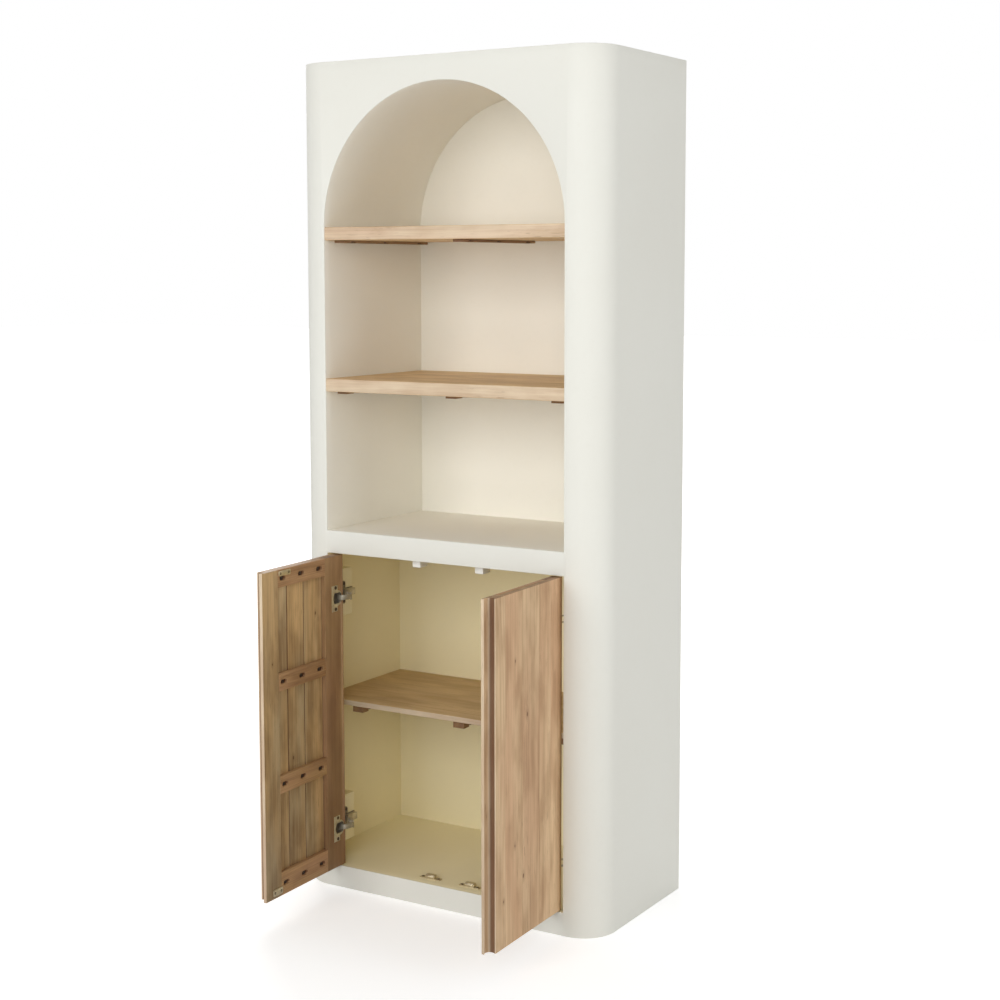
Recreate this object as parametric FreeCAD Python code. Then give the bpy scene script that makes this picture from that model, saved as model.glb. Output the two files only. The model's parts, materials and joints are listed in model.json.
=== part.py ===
import FreeCAD, Part
import math
import os

# Arched cabinet with two plank doors. Millimetres, +Z up, front towards -Y.
# The origin is on the floor, at the middle of the carcass footprint.

# Carcass
carcass_width = 765.0
carcass_depth = 390.0
carcass_height = 1830.0
corner_radius = 76.0
back_corner_radius = 5.0
face_thickness = 24.0
side_thickness = 15.0
back_thickness = 12.0
top_thickness = 18.0
deck_thickness = 18.0
lining_thickness = 12.0
panel_fit = 0.5
bearer_width = 40.0

# Openings in the front
stile_flat_width = 6.5
arch_crown_margin = 54.0
niche_floor_height = 810.0
middle_rail_height = 50.0
plinth_height = 50.0

# Shelves, their battens and the screws in them
shelf_thickness = 28.0
lower_shelf_share = 0.5045
shelf_front_setback = 1.5
shelf_edge_round = 2.0
cupboard_shelf_thickness = 12.0
cupboard_shelf_height = 415.0
cupboard_shelf_setback = 58.0
niche_batten_width = 26.0
niche_batten_thickness = 6.0
niche_batten_setback = 20.0
cupboard_batten_width = 28.0
cupboard_batten_thickness = 16.0
cupboard_batten_setback = 10.0
batten_back_gap = 26.5
short_batten_back_gap = 56.5
upper_batten_place_shares = (-0.917, 0.11)
lower_batten_place_shares = (-0.903, 0.043, 0.903)
cupboard_batten_place_shares = (-0.735, 0.0, 0.735)
shelf_screw_shares = (0.107, 0.485, 0.896)

# Doors
door_thickness = 24.0
jamb_gap = 3.0
meeting_gap = 4.0
door_end_gap = 3.0
free_stile_width = 54.0
left_hinge_stile_width = 68.0
right_hinge_stile_width = 51.0
left_plank_width_shares = (0.257, 0.350, 0.393)
right_plank_width_shares = (0.371, 0.371, 0.258)
plank_thickness = 14.0
tongue_thickness = 5.0
tongue_length = 6.0
tongue_clearance = 0.2
pull_land = 7.0
pull_setback = 15.0
pull_front_land = 3.0
pull_depth = 18.0
door_batten_height = 38.0
bottom_batten_height = 50.0
door_batten_tops = (0.0, 222.0, 444.0)
door_screw_shares = (0.105, 0.49, 0.875)
left_rest_angle = 88.0
right_rest_angle = 92.0

# Screw pockets in the battens
pocket_half_width = 4.8
pocket_half_length = 10.5
pocket_depth = 5.0
shallow_pocket_depth = 3.4
pocket_edge_distance = 4.2
screw_head_radius = 3.8
screw_head_height = 2.4
screw_flats = 8

# Concealed hinges. Each place is set in from the jamb and back from the front.
pivot_inset = 11.5
pivot_setback = 3.0
hinge_top_distance = 95.0
hinge_bottom_distance = 88.0
cup_edge_distance = 21.5
cup_radius = 17.5
cup_depth = 12.5
cup_wall = 1.8
cup_floor = 1.0
cup_mouth_half_height = 11.8
cup_bore_clearance = 0.15
flange_thickness = 1.2
flange_half_length = 29.0
flange_reach = 22.0
flange_return = 1.0
ear_distance = 24.0
ear_offset = 7.0
cup_pin_radius = 1.0
link_pin_inset = 13.95
link_pin_setback = 21.95
link_bore_clearance = 0.08
link_eye_radius = 2.2
link_half_width = 5.4
link_thickness = 3.2
link_bow_depth = 7.8
link_bow_distance = 7.4
link_ratio = 1.54
square_angle = 90.0
nose_inset = 43.0
nose_setback = 27.5
nose_radius = 3.0
nose_rivet_radius = 1.6
nose_rivet_height = 0.8
arm_half_width = 7.6
arm_cheek = 1.6
arm_height = 10.0
arm_front_setback = 54.0
arm_back_setback = 85.0
arm_slot_inset = 15.0
arm_slot_setback = 50.0
plate_thickness = 3.0
plate_front_setback = 47.0
plate_back_setback = 88.0
plate_half_width = 9.0
wing_half_length = 26.0
wing_setback = 56.0
wing_radius = 5.5
wing_screw_distance = 20.0
block_back_setback = 90.0
block_height = 106.0

# Catches under the deck and on the cupboard floor, and the strikes on the doors
catch_clearance = 0.6
strike_thickness = 1.5
top_catch_distance = 80.0
top_catch_width = 20.0
top_catch_length = 30.0
top_catch_height = 19.0
top_catch_round = 3.0
top_strike_width = 42.0
top_strike_height = 11.5
top_strike_end_distance = 8.5
floor_catch_distance = 51.0
floor_catch_width = 52.0
floor_catch_length = 14.0
floor_catch_plate = 2.0
floor_catch_body_width = 22.0
floor_catch_body_height = 9.0
floor_catch_roller_radius = 2.6
bottom_strike_distance = 42.0
bottom_strike_width = 34.0
bottom_strike_height = 15.0
bottom_strike_end_distance = 13.0

# Overrun of the cutting bodies past the faces they cut, and how near two corners are one
overrun = 2.0
join_tolerance = 0.001

# Places that follow from the sizes above
half_width = carcass_width / 2
front_y = -carcass_depth / 2
back_y = carcass_depth / 2
face_back_y = front_y + face_thickness
board_back_y = back_y - back_thickness
inner_half_width = half_width - side_thickness
opening_half = half_width - corner_radius - stile_flat_width
corner_x = half_width - corner_radius
corner_y = front_y + corner_radius
top_underside = carcass_height - top_thickness
spring_height = carcass_height - arch_crown_margin - opening_half
lower_shelf_height = (
    niche_floor_height + lower_shelf_share * (spring_height - niche_floor_height))
door_opening_top = niche_floor_height - middle_rail_height
jamb_x = -opening_half
door_front_y = front_y
door_back_y = front_y + door_thickness
door_bottom = plinth_height + door_end_gap
door_top = door_opening_top - door_end_gap
door_hinge_x = jamb_x + jamb_gap
door_tip_x = -meeting_gap / 2
hinge_heights = (door_bottom + hinge_bottom_distance, door_top - hinge_top_distance)
up = FreeCAD.Vector(0, 0, 1)
pivot = FreeCAD.Vector(jamb_x + pivot_inset, front_y + pivot_setback, 0)
cup_centre_x = door_hinge_x + cup_edge_distance
link_pin = FreeCAD.Vector(jamb_x + link_pin_inset, front_y + link_pin_setback, 0)
nose = FreeCAD.Vector(jamb_x + nose_inset, front_y + nose_setback, 0)

parts = {}


def point(x, y, z=0.0):
    return FreeCAD.Vector(x, y, z)


def box(x0, x1, y0, y1, z0, z1):
    return Part.makeBox(x1 - x0, y1 - y0, z1 - z0, point(x0, y0, z0))


def cylinder(radius, start, end):
    span = end - start
    return Part.makeCylinder(radius, span.Length, start, span)


def small_round(radius, start, end):
    # A screw head or its pocket, as a low prism with few flats, along X, Y or Z
    span = end - start
    corner = FreeCAD.Vector(span.z, span.x, span.y) * (radius / span.Length)
    turns = [FreeCAD.Rotation(span, 360 * i / screw_flats) for i in range(screw_flats)]
    ring = [start + turn.multVec(corner) for turn in turns]
    return Part.Face(Part.makePolygon(ring + ring[:1])).extrude(span)


def screw_pocket(mouth, seat, along):
    # An oval pocket with few flats, longer along the given direction
    span = seat - mouth
    across = span.cross(along).normalize()
    step = pocket_half_width * math.tan(math.pi / screw_flats)
    stretch = pocket_half_length - pocket_half_width
    quarter_ring = [(pocket_half_width, step), (step, pocket_half_width)]
    ring = []
    for side, end in ((1, 1), (-1, 1), (-1, -1), (1, -1)):
        corners = quarter_ring if side == end else quarter_ring[::-1]
        for a, c in corners:
            ring.append(mouth + along * (side * (a + stretch)) + across * (end * c))
    return Part.Face(Part.makePolygon(ring + ring[:1])).extrude(span)


def line(a, b):
    return Part.LineSegment(a, b).toShape()


def quarter(centre, radius, start_degrees):
    # A quarter turn in plan, counter-clockwise from the given direction
    angles = [math.radians(start_degrees + turn) for turn in (0, 45, 90)]
    marks = [centre + point(radius * math.cos(a), radius * math.sin(a)) for a in angles]
    return Part.Arc(*marks).toShape()


def joined(marks_and_arcs):
    # Closes a ring of points and ready-made arcs with straight lines
    edges = []
    ends = []
    for item in marks_and_arcs:
        if isinstance(item, FreeCAD.Vector):
            ends.append((item, item))
        else:
            edges.append(item)
            ends.append((item.valueAt(item.FirstParameter), item.valueAt(item.LastParameter)))
    for i, (_, tail) in enumerate(ends):
        head = ends[(i + 1) % len(ends)][0]
        if (head - tail).Length > join_tolerance:
            edges.append(line(tail, head))
    return Part.Face(Part.Wire(Part.__sortEdges__(edges)))


def upright(face, z0, z1):
    placed = face.copy()
    placed.translate(point(0, 0, z0))
    return placed.extrude(point(0, 0, z1 - z0))


def mirrored(shape):
    return shape.mirror(point(0, 0, 0), point(1, 0, 0))


def both_sides(name, shape):
    parts["left_" + name] = shape
    parts["right_" + name] = mirrored(shape)


# Painted carcass

def corner_post():
    centre = point(-corner_x, corner_y)
    outer = quarter(centre, corner_radius, 180)
    inner = quarter(centre, corner_radius - face_thickness, 180)
    front = line(outer.valueAt(outer.LastParameter), inner.valueAt(inner.LastParameter))
    side = line(outer.valueAt(outer.FirstParameter), inner.valueAt(inner.FirstParameter))
    face = Part.Face(Part.Wire(Part.__sortEdges__([outer, front, inner, side])))
    return upright(face, 0, top_underside)


def side_panel():
    round_centre = point(-half_width + back_corner_radius, back_y - back_corner_radius)
    face = joined([
        point(-half_width, corner_y),
        point(-inner_half_width, corner_y),
        point(-inner_half_width, back_y),
        quarter(round_centre, back_corner_radius, 90),
    ])
    return upright(face, 0, top_underside)


def stile():
    return box(-corner_x, -opening_half, front_y, face_back_y, 0, spring_height)


def arch_header():
    left_foot = point(-opening_half, 0, spring_height)
    right_foot = point(opening_half, 0, spring_height)
    crown = point(0, 0, spring_height + opening_half)
    marks = [
        left_foot,
        point(-corner_x, 0, spring_height),
        point(-corner_x, 0, top_underside),
        point(corner_x, 0, top_underside),
        point(corner_x, 0, spring_height),
        right_foot,
    ]
    edges = [line(a, b) for a, b in zip(marks, marks[1:])]
    edges.append(Part.Arc(right_foot, crown, left_foot).toShape())
    face = Part.Face(Part.Wire(edges))
    face.translate(point(0, front_y))
    return face.extrude(point(0, face_thickness))


def top_panel():
    face = joined([
        quarter(point(-corner_x, corner_y), corner_radius, 180),
        quarter(point(corner_x, corner_y), corner_radius, 270),
        quarter(point(half_width - back_corner_radius, back_y - back_corner_radius),
                back_corner_radius, 0),
        quarter(point(-half_width + back_corner_radius, back_y - back_corner_radius),
                back_corner_radius, 90),
    ])
    return upright(face, top_underside, carcass_height)


def inner_plan():
    # The space between the side panels, clear of the round corner posts
    radius = corner_radius - face_thickness - panel_fit
    return joined([
        point(-inner_half_width, corner_y),
        quarter(point(-corner_x, corner_y), radius, 180),
        point(-corner_x, face_back_y),
        point(corner_x, face_back_y),
        quarter(point(corner_x, corner_y), radius, 270),
        point(inner_half_width, corner_y),
        point(inner_half_width, board_back_y),
        point(-inner_half_width, board_back_y),
    ])


def inner_board(z0, z1, front=face_back_y):
    board = upright(inner_plan(), z0, z1)
    return board.common(box(-half_width, half_width, front, back_y, z0, z1))


def arch_soffit():
    centre = point(0, face_back_y, spring_height)
    depth = board_back_y - face_back_y
    along = point(0, 1, 0)
    ring = Part.makeCylinder(opening_half + lining_thickness, depth, centre, along)
    ring = ring.cut(Part.makeCylinder(opening_half, depth, centre, along))
    upper = box(-half_width, half_width, face_back_y, board_back_y, spring_height, carcass_height)
    return ring.common(upper)


both_sides("corner_post", corner_post())
both_sides("side_panel", side_panel())
both_sides("stile", stile())
parts["arch_header"] = arch_header()
parts["middle_rail"] = box(
    -opening_half, opening_half, front_y, face_back_y, door_opening_top, niche_floor_height)
parts["plinth_rail"] = box(-opening_half, opening_half, front_y, face_back_y, 0, plinth_height)
parts["top_panel"] = top_panel()
parts["back_panel"] = box(
    -inner_half_width, inner_half_width, board_back_y, back_y, 0, top_underside)
parts["niche_floor"] = inner_board(niche_floor_height - deck_thickness, niche_floor_height)
parts["cupboard_floor"] = inner_board(plinth_height - deck_thickness, plinth_height)
parts["floor_bearer"] = box(
    -bearer_width / 2, bearer_width / 2, face_back_y, board_back_y,
    0, plinth_height - deck_thickness)
# The niche's lining is scribed to the round backs of the corner posts
both_sides("niche_wall", box(
    -opening_half - lining_thickness, -opening_half, face_back_y, board_back_y,
    niche_floor_height, spring_height).cut(corner_post()))
parts["arch_soffit"] = arch_soffit().cut([parts["left_corner_post"], parts["right_corner_post"]])


# Wooden shelves on screwed battens

def eased_shelf(board, front):
    edges = [
        e for e in board.Edges
        if all(abs(v.Y - front) < panel_fit for v in e.Vertexes)
        and e.BoundBox.ZLength < panel_fit
    ]
    return board.makeFillet(shelf_edge_round, edges)


def niche_shelf(top):
    front = front_y + shelf_front_setback
    board = box(-opening_half, opening_half, front, board_back_y, top - shelf_thickness, top)
    return eased_shelf(board, front)


def shelf_batten(centre, width, front, back, bottom, top, depth):
    # Its screw pockets break out of its right side
    batten = box(centre - width / 2, centre + width / 2, front, back, bottom, top)
    heads = []
    for share in shelf_screw_shares:
        mouth = point(centre + width / 2 - pocket_edge_distance,
                      front + share * (back - front), bottom)
        seat = mouth + point(0, 0, depth)
        batten = batten.cut(screw_pocket(mouth - point(0, 0, overrun), seat, point(0, 1)))
        heads.append(small_round(screw_head_radius, seat - point(0, 0, screw_head_height), seat))
    return batten, heads


shelf_screws = []


def add_battens(name, centres, back_gaps, width, front, top, thickness, depth):
    battens = []
    for centre, gap in zip(centres, back_gaps):
        batten, heads = shelf_batten(
            centre, width, front, board_back_y - gap, top - thickness, top, depth)
        battens.append(batten)
        shelf_screws.extend(heads)
    parts[name] = Part.makeCompound(battens)


for name, top, shares, gaps in (
        ("upper", spring_height, upper_batten_place_shares,
         (batten_back_gap, short_batten_back_gap)),
        ("lower", lower_shelf_height, lower_batten_place_shares, (batten_back_gap,) * 3)):
    parts[name + "_shelf"] = niche_shelf(top)
    add_battens(
        name + "_shelf_battens", [share * opening_half for share in shares], gaps,
        niche_batten_width, front_y + shelf_front_setback + niche_batten_setback,
        top - shelf_thickness, niche_batten_thickness, shallow_pocket_depth)

cupboard_shelf_front = front_y + cupboard_shelf_setback
cupboard_shelf_underside = cupboard_shelf_height - cupboard_shelf_thickness
parts["cupboard_shelf"] = inner_board(
    cupboard_shelf_underside, cupboard_shelf_height, cupboard_shelf_front)
add_battens(
    "cupboard_shelf_battens",
    [share * inner_half_width for share in cupboard_batten_place_shares],
    (batten_back_gap,) * 3, cupboard_batten_width,
    cupboard_shelf_front + cupboard_batten_setback, cupboard_shelf_underside,
    cupboard_batten_thickness, pocket_depth)
parts["shelf_screws"] = Part.makeCompound(shelf_screws)


# Doors. Each is drawn shut, as the left one, then swung open about its pivot.

def tongue(x, grow=0.0):
    middle = door_front_y + plank_thickness / 2
    half = tongue_thickness / 2 + grow
    return box(x - tongue_length - grow, x + grow, middle - half, middle + half,
               door_bottom - grow, door_top + grow)


def free_stile(root_x):
    tip = door_tip_x
    front = door_front_y
    land_end = point(tip, door_back_y - pull_land)
    cove_end = point(tip - pull_setback, front + pull_front_land)
    cove_middle = point(tip - pull_depth, (land_end.y + cove_end.y) / 2)
    face = joined([
        point(root_x, front),
        point(tip - pull_setback, front),
        Part.Arc(cove_end, cove_middle, land_end).toShape(),
        point(tip, door_back_y),
        point(root_x, door_back_y),
    ])
    return upright(face, door_bottom, door_top).fuse(tongue(root_x)).removeSplitter()


def plank(x0, x1):
    body = box(x0, x1, door_front_y, door_front_y + plank_thickness, door_bottom, door_top)
    return body.fuse(tongue(x0)).removeSplitter().cut(tongue(x1, tongue_clearance))


def cup_outline(z, grow):
    mouth = point(cup_centre_x, door_back_y, z)
    body = cylinder(cup_radius + grow, mouth, mouth - point(0, cup_depth + grow, 0))
    flange = box(cup_centre_x - flange_return - grow, cup_centre_x + flange_reach + grow,
                 door_back_y - flange_thickness, door_back_y,
                 z - flange_half_length - grow, z + flange_half_length + grow)
    return body.fuse(flange).removeSplitter()


def hinge_cup(z):
    mouth = point(cup_centre_x, door_back_y, z)
    floor = mouth - point(0, cup_depth - cup_floor, 0)
    hollow = cylinder(cup_radius - cup_wall, floor, mouth + point(0, overrun, 0))
    hollow = hollow.common(box(
        cup_centre_x - cup_radius, cup_centre_x + cup_radius, door_front_y, door_back_y + overrun,
        z - cup_mouth_half_height, z + cup_mouth_half_height))
    cup = cup_outline(z, 0).cut(hollow)
    chord = math.sqrt(cup_radius ** 2 - (cup_centre_x - link_pin.x) ** 2) - cup_wall / 2
    pin = cylinder(cup_pin_radius, link_pin + point(0, 0, z - chord),
                   link_pin + point(0, 0, z + chord))
    return cup.fuse(pin).removeSplitter()


def hinge_stile(x1):
    stile_body = box(door_hinge_x, x1, door_front_y, door_back_y, door_bottom, door_top)
    stile_body = stile_body.cut(tongue(x1, tongue_clearance))
    for z in hinge_heights:
        stile_body = stile_body.cut(cup_outline(z, cup_bore_clearance))
    return stile_body


def batten_spans():
    spans = [(door_top - top - door_batten_height, door_top - top) for top in door_batten_tops]
    return spans + [(door_bottom, door_bottom + bottom_batten_height)]


def door_battens(x0, x1):
    battens = []
    screws = []
    seat_y = door_back_y - pocket_depth
    for z0, z1 in batten_spans():
        batten = box(x0, x1, door_front_y + plank_thickness, door_back_y, z0, z1)
        for share in door_screw_shares:
            seat = point(x1 - share * (x1 - x0), seat_y, (z0 + z1) / 2)
            mouth = point(seat.x, door_back_y + overrun, seat.z)
            batten = batten.cut(screw_pocket(mouth, seat, point(1, 0)))
            head = seat + point(0, screw_head_height, 0)
            screws.append(small_round(screw_head_radius, seat, head))
        battens.append(batten)
    return battens, screws


def strike(distance, width, middle_z, height):
    x = -distance
    plate = box(x - width / 2, x + width / 2, door_back_y, door_back_y + strike_thickness,
                middle_z - height / 2, middle_z + height / 2)
    corners = [e for e in plate.Edges if e.BoundBox.YLength > strike_thickness / 2]
    return plate.makeFillet(height / 4, corners)


def flange_screws():
    heads = []
    for z in hinge_heights:
        for side in (-1, 1):
            seat = point(cup_centre_x + ear_offset, door_back_y, z + side * ear_distance)
            heads.append(small_round(screw_head_radius, seat, seat + point(0, flange_thickness, 0)))
    return heads


def centre_above(lowest, foot, inward):
    # The centre of the arc through both points that runs level at the lowest
    reach = foot - lowest
    return lowest + inward * (reach.Length ** 2 / (2 * reach.dot(inward)))


def arc_about(centre, start, end, grow):
    first = start - centre
    last = end - centre
    middle = (first + last) * (first.Length / (first + last).Length)
    share = 1 + grow / first.Length
    return Part.Arc(centre + first * share, centre + middle * share, centre + last * share).toShape()


def hinge_link(z, open_angle):
    # Drawn from the cup's pin to the arm's nose with the door square to the front
    away = FreeCAD.Rotation(up, square_angle).multVec(nose - pivot) + pivot - link_pin
    end = link_pin + away
    along = away * (1 / away.Length)
    inward = point(-along.y, along.x)
    lowest = link_pin + along * link_bow_distance - inward * link_bow_depth
    half = link_thickness / 2
    pin_centre = centre_above(lowest, link_pin, inward)
    end_centre = centre_above(lowest, end, inward)
    face = joined([
        arc_about(pin_centre, link_pin, lowest, half),
        arc_about(end_centre, lowest, end, half),
        arc_about(end_centre, end, lowest, -half),
        arc_about(pin_centre, lowest, link_pin, -half),
    ])
    low = point(0, 0, -link_half_width)
    high = point(0, 0, link_half_width)
    strap = upright(face, -link_half_width, link_half_width)
    eye = cylinder(link_eye_radius, link_pin + low, link_pin + high)
    bore = cylinder(cup_pin_radius + link_bore_clearance,
                    link_pin + low - point(0, 0, overrun), link_pin + high + point(0, 0, overrun))
    link = strap.fuse(eye).removeSplitter().cut(bore)
    link.rotate(link_pin, up, link_ratio * (open_angle - square_angle))
    link.translate(point(0, 0, z))
    return link


def door(side, open_angle, hinge_stile_width, plank_width_shares):
    stile_x = door_tip_x - free_stile_width
    pieces = {"free_stile": free_stile(stile_x)}
    x1 = stile_x
    planks_width = stile_x - door_hinge_x - hinge_stile_width
    for number, share in enumerate(plank_width_shares, 1):
        width = share * planks_width
        pieces["plank_%d" % number] = plank(x1 - width, x1)
        x1 -= width
    pieces["hinge_stile"] = hinge_stile(x1)
    battens, screws = door_battens(x1, stile_x)
    pieces["battens"] = Part.makeCompound(battens)
    pieces["screws"] = Part.makeCompound(screws + flange_screws())
    pieces["strike_plates"] = Part.makeCompound([
        strike(top_catch_distance, top_strike_width,
               door_top - top_strike_end_distance, top_strike_height),
        strike(bottom_strike_distance, bottom_strike_width,
               door_bottom + bottom_strike_end_distance, bottom_strike_height),
    ])
    pieces["hinge_cups"] = Part.makeCompound([hinge_cup(z) for z in hinge_heights])
    pieces["hinge_links"] = Part.makeCompound([hinge_link(z, open_angle) for z in hinge_heights])
    for name, shape in pieces.items():
        swung = shape.copy()
        swung.rotate(pivot, up, -open_angle)
        parts[side + "_door_" + name] = mirrored(swung) if side == "right" else swung


door("left", left_rest_angle, left_hinge_stile_width, left_plank_width_shares)
door("right", right_rest_angle, right_hinge_stile_width, right_plank_width_shares)


# Fixed half of the hinges, on packing blocks behind the stiles

def hinge_arm(z):
    def mark(inset, setback):
        return point(jamb_x + inset, front_y + setback)
    nose_arc = Part.Arc(nose - point(nose_radius, 0), nose - point(0, nose_radius),
                        nose + point(nose_radius, 0)).toShape()
    face = joined([
        nose_arc,
        mark(plate_thickness + arm_height, arm_front_setback + arm_height),
        mark(plate_thickness + arm_height, arm_back_setback),
        mark(plate_thickness, arm_back_setback),
        mark(plate_thickness, arm_front_setback),
    ])
    arm = upright(face, z - arm_half_width, z + arm_half_width)
    slot = arm_half_width - arm_cheek
    arm = arm.cut(box(jamb_x + arm_slot_inset, nose.x + nose_radius + overrun,
                      nose.y - nose_radius - overrun, front_y + arm_slot_setback,
                      z - slot, z + slot))
    for side in (-1, 1):
        cheek = nose + point(0, 0, z + side * arm_half_width)
        head = cheek + point(0, 0, side * nose_rivet_height)
        rivet = small_round(nose_rivet_radius, cheek, head)
        arm = arm.fuse(rivet)
    return arm.removeSplitter()


def mounting_plate(z):
    foot = jamb_x + plate_thickness
    spine = box(jamb_x, foot, front_y + plate_front_setback, front_y + plate_back_setback,
                z - plate_half_width, z + plate_half_width)
    reach = wing_half_length - wing_radius
    middle_y = front_y + wing_setback
    wing = box(jamb_x, foot, middle_y - wing_radius, middle_y + wing_radius, z - reach, z + reach)
    plate = spine.fuse(wing)
    for side in (-1, 1):
        end = point(jamb_x, middle_y, z + side * reach)
        plate = plate.fuse(cylinder(wing_radius, end, end + point(plate_thickness, 0, 0)))
    return plate.removeSplitter()


def plate_screws(z):
    heads = []
    for side in (-1, 1):
        seat = point(jamb_x + plate_thickness, front_y + wing_setback, z + side * wing_screw_distance)
        heads.append(small_round(screw_head_radius, seat, seat + point(flange_thickness, 0, 0)))
    return heads


def hinge_block(z):
    z0 = z - block_height / 2
    reach = box(-inner_half_width, jamb_x, face_back_y, front_y + block_back_setback,
                z0, z0 + block_height)
    return reach.common(upright(inner_plan(), z0, z0 + block_height))


def four(make):
    left = []
    for z in hinge_heights:
        made = make(z)
        left += made if isinstance(made, list) else [made]
    return left + [mirrored(shape) for shape in left]


parts["hinge_arms"] = Part.makeCompound(four(hinge_arm))
parts["hinge_mounting_plates"] = Part.makeCompound(four(mounting_plate))
parts["hinge_plate_screws"] = Part.makeCompound(four(plate_screws))
parts["hinge_blocks"] = Part.makeCompound(four(hinge_block))


# Catches that hold the shut doors

def top_catch():
    front = door_back_y + strike_thickness + catch_clearance
    body = box(-top_catch_distance - top_catch_width / 2, -top_catch_distance + top_catch_width / 2,
               front, front + top_catch_length, door_opening_top - top_catch_height,
               niche_floor_height - deck_thickness)
    rail_back = box(-half_width, half_width, front_y, face_back_y, 0, carcass_height)
    body = body.cut(rail_back)
    edges = [e for e in body.Edges
             if e.BoundBox.ZLength < panel_fit
             and e.BoundBox.ZMax < door_opening_top - top_catch_height / 2]
    return body.makeFillet(top_catch_round, edges)


def floor_catch():
    front = door_back_y + strike_thickness + catch_clearance
    x = -floor_catch_distance
    plate = box(x - floor_catch_width / 2, x + floor_catch_width / 2, front,
                front + floor_catch_length, plinth_height, plinth_height + floor_catch_plate)
    corners = [e for e in plate.Edges if e.BoundBox.ZLength > floor_catch_plate / 2]
    plate = plate.makeFillet(floor_catch_length / 4, corners)
    body = box(x - floor_catch_body_width / 2, x + floor_catch_body_width / 2,
               front + floor_catch_roller_radius, front + floor_catch_length,
               plinth_height + floor_catch_plate, plinth_height + floor_catch_body_height)
    axis_y = front + floor_catch_roller_radius
    axis_z = plinth_height + floor_catch_plate + (floor_catch_body_height - floor_catch_plate) / 2
    half = floor_catch_body_width / 2 - floor_catch_plate
    roller = cylinder(floor_catch_roller_radius, point(x - half, axis_y, axis_z),
                      point(x + half, axis_y, axis_z))
    return plate.fuse([body, roller]).removeSplitter()


for name, make in (("top_catches", top_catch), ("floor_catches", floor_catch)):
    catch = make()
    parts[name] = Part.makeCompound([catch, mirrored(catch)])

os.makedirs("parts", exist_ok=True)
for name, shape in sorted(parts.items()):
    shape.exportStep("parts/%s.step" % name)
    print(name, len(shape.Solids), "solids,", round(shape.Volume), "mm3,",
          "valid" if shape.isValid() else "NOT VALID")
print(len(parts), "nodes")
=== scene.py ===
import json
import math
import random

import bpy
from mathutils import Matrix, Vector

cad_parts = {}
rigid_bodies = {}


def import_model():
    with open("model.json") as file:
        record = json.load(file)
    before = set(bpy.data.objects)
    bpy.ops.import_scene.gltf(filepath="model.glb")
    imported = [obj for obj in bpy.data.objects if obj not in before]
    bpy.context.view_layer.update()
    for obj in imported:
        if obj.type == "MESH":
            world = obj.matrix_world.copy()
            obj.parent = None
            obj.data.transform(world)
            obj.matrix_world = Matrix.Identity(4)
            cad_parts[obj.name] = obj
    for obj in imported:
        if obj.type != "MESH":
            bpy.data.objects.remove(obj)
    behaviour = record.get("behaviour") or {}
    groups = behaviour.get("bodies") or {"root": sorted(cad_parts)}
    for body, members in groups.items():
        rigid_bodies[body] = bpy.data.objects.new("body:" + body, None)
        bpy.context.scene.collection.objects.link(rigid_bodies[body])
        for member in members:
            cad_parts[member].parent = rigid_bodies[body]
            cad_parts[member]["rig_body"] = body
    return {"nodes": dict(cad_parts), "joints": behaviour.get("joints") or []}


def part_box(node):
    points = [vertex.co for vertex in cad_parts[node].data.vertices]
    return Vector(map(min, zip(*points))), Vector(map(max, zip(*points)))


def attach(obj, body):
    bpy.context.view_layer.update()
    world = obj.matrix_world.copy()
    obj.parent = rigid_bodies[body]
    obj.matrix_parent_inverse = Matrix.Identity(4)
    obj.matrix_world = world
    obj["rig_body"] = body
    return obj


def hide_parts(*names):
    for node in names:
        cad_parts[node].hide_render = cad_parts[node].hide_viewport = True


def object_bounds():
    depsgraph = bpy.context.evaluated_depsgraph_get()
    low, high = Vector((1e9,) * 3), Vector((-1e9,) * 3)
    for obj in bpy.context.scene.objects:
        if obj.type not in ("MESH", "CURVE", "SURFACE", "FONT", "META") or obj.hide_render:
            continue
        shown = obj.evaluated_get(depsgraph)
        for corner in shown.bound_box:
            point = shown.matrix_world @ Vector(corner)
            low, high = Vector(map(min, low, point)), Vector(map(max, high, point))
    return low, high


bl_info = {
    "name": "Arched cabinet",
    "version": (1, 0, 0),
    "blender": (4, 5, 0),
    "location": "3D View > Sidebar > Cabinet",
    "description": "Painted cabinet with an arched niche and two plank doors",
    "category": "Object",
}

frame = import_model()
cad_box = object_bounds()

SIDES = ("left", "right")
DOOR_PLANKS = ("door_plank_1", "door_plank_2", "door_plank_3")
JOINTS = {joint["name"]: joint for joint in frame["joints"]}

# Knots of the doors: board, place across and up the shut door, and size
DOOR_KNOTS = (
    ("right_door_plank_2", 0.146, 0.503, 0.0034), ("right_door_plank_2", 0.1295, 0.176, 0.0034),
    ("right_door_plank_1", 0.0968, 0.620, 0.0022), ("right_door_plank_1", 0.0947, 0.2476, 0.0022),
    ("right_door_free_stile", 0.0480, 0.148, 0.0020), ("left_door_plank_2", -0.118, 0.338, 0.0028),
    ("left_door_plank_3", -0.205, 0.640, 0.0026), ("left_door_free_stile", -0.034, 0.560, 0.0018),
)
# Knots in a board's own coordinates: place across and along, and size
SHELF_KNOT = (0.15, -0.073, 0.003)
NO_KNOT = (9.0, 0.0, 0.003)

# How near two places count as one, and how welded copies of CAD nodes are cleaned
NEAR = 1e-4
ARCH_NEAR = 1e-3
WELD = 1e-6
FLAT_ANGLE = math.radians(0.5)
EDGE_ANGLE = math.radians(40)

# How far cutters stand over, and the rounding of the rear corners
OVERHANG = 0.01
REAR_CORNER_SHARE = 1 / 3
REAR_CORNER_STEPS = 6

# Depths from a board's middle between which its front colour gives way to its back
PLANK_DEPTHS = (0.001, -0.003)
STILE_DEPTHS = (0.003, -0.001)

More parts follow.
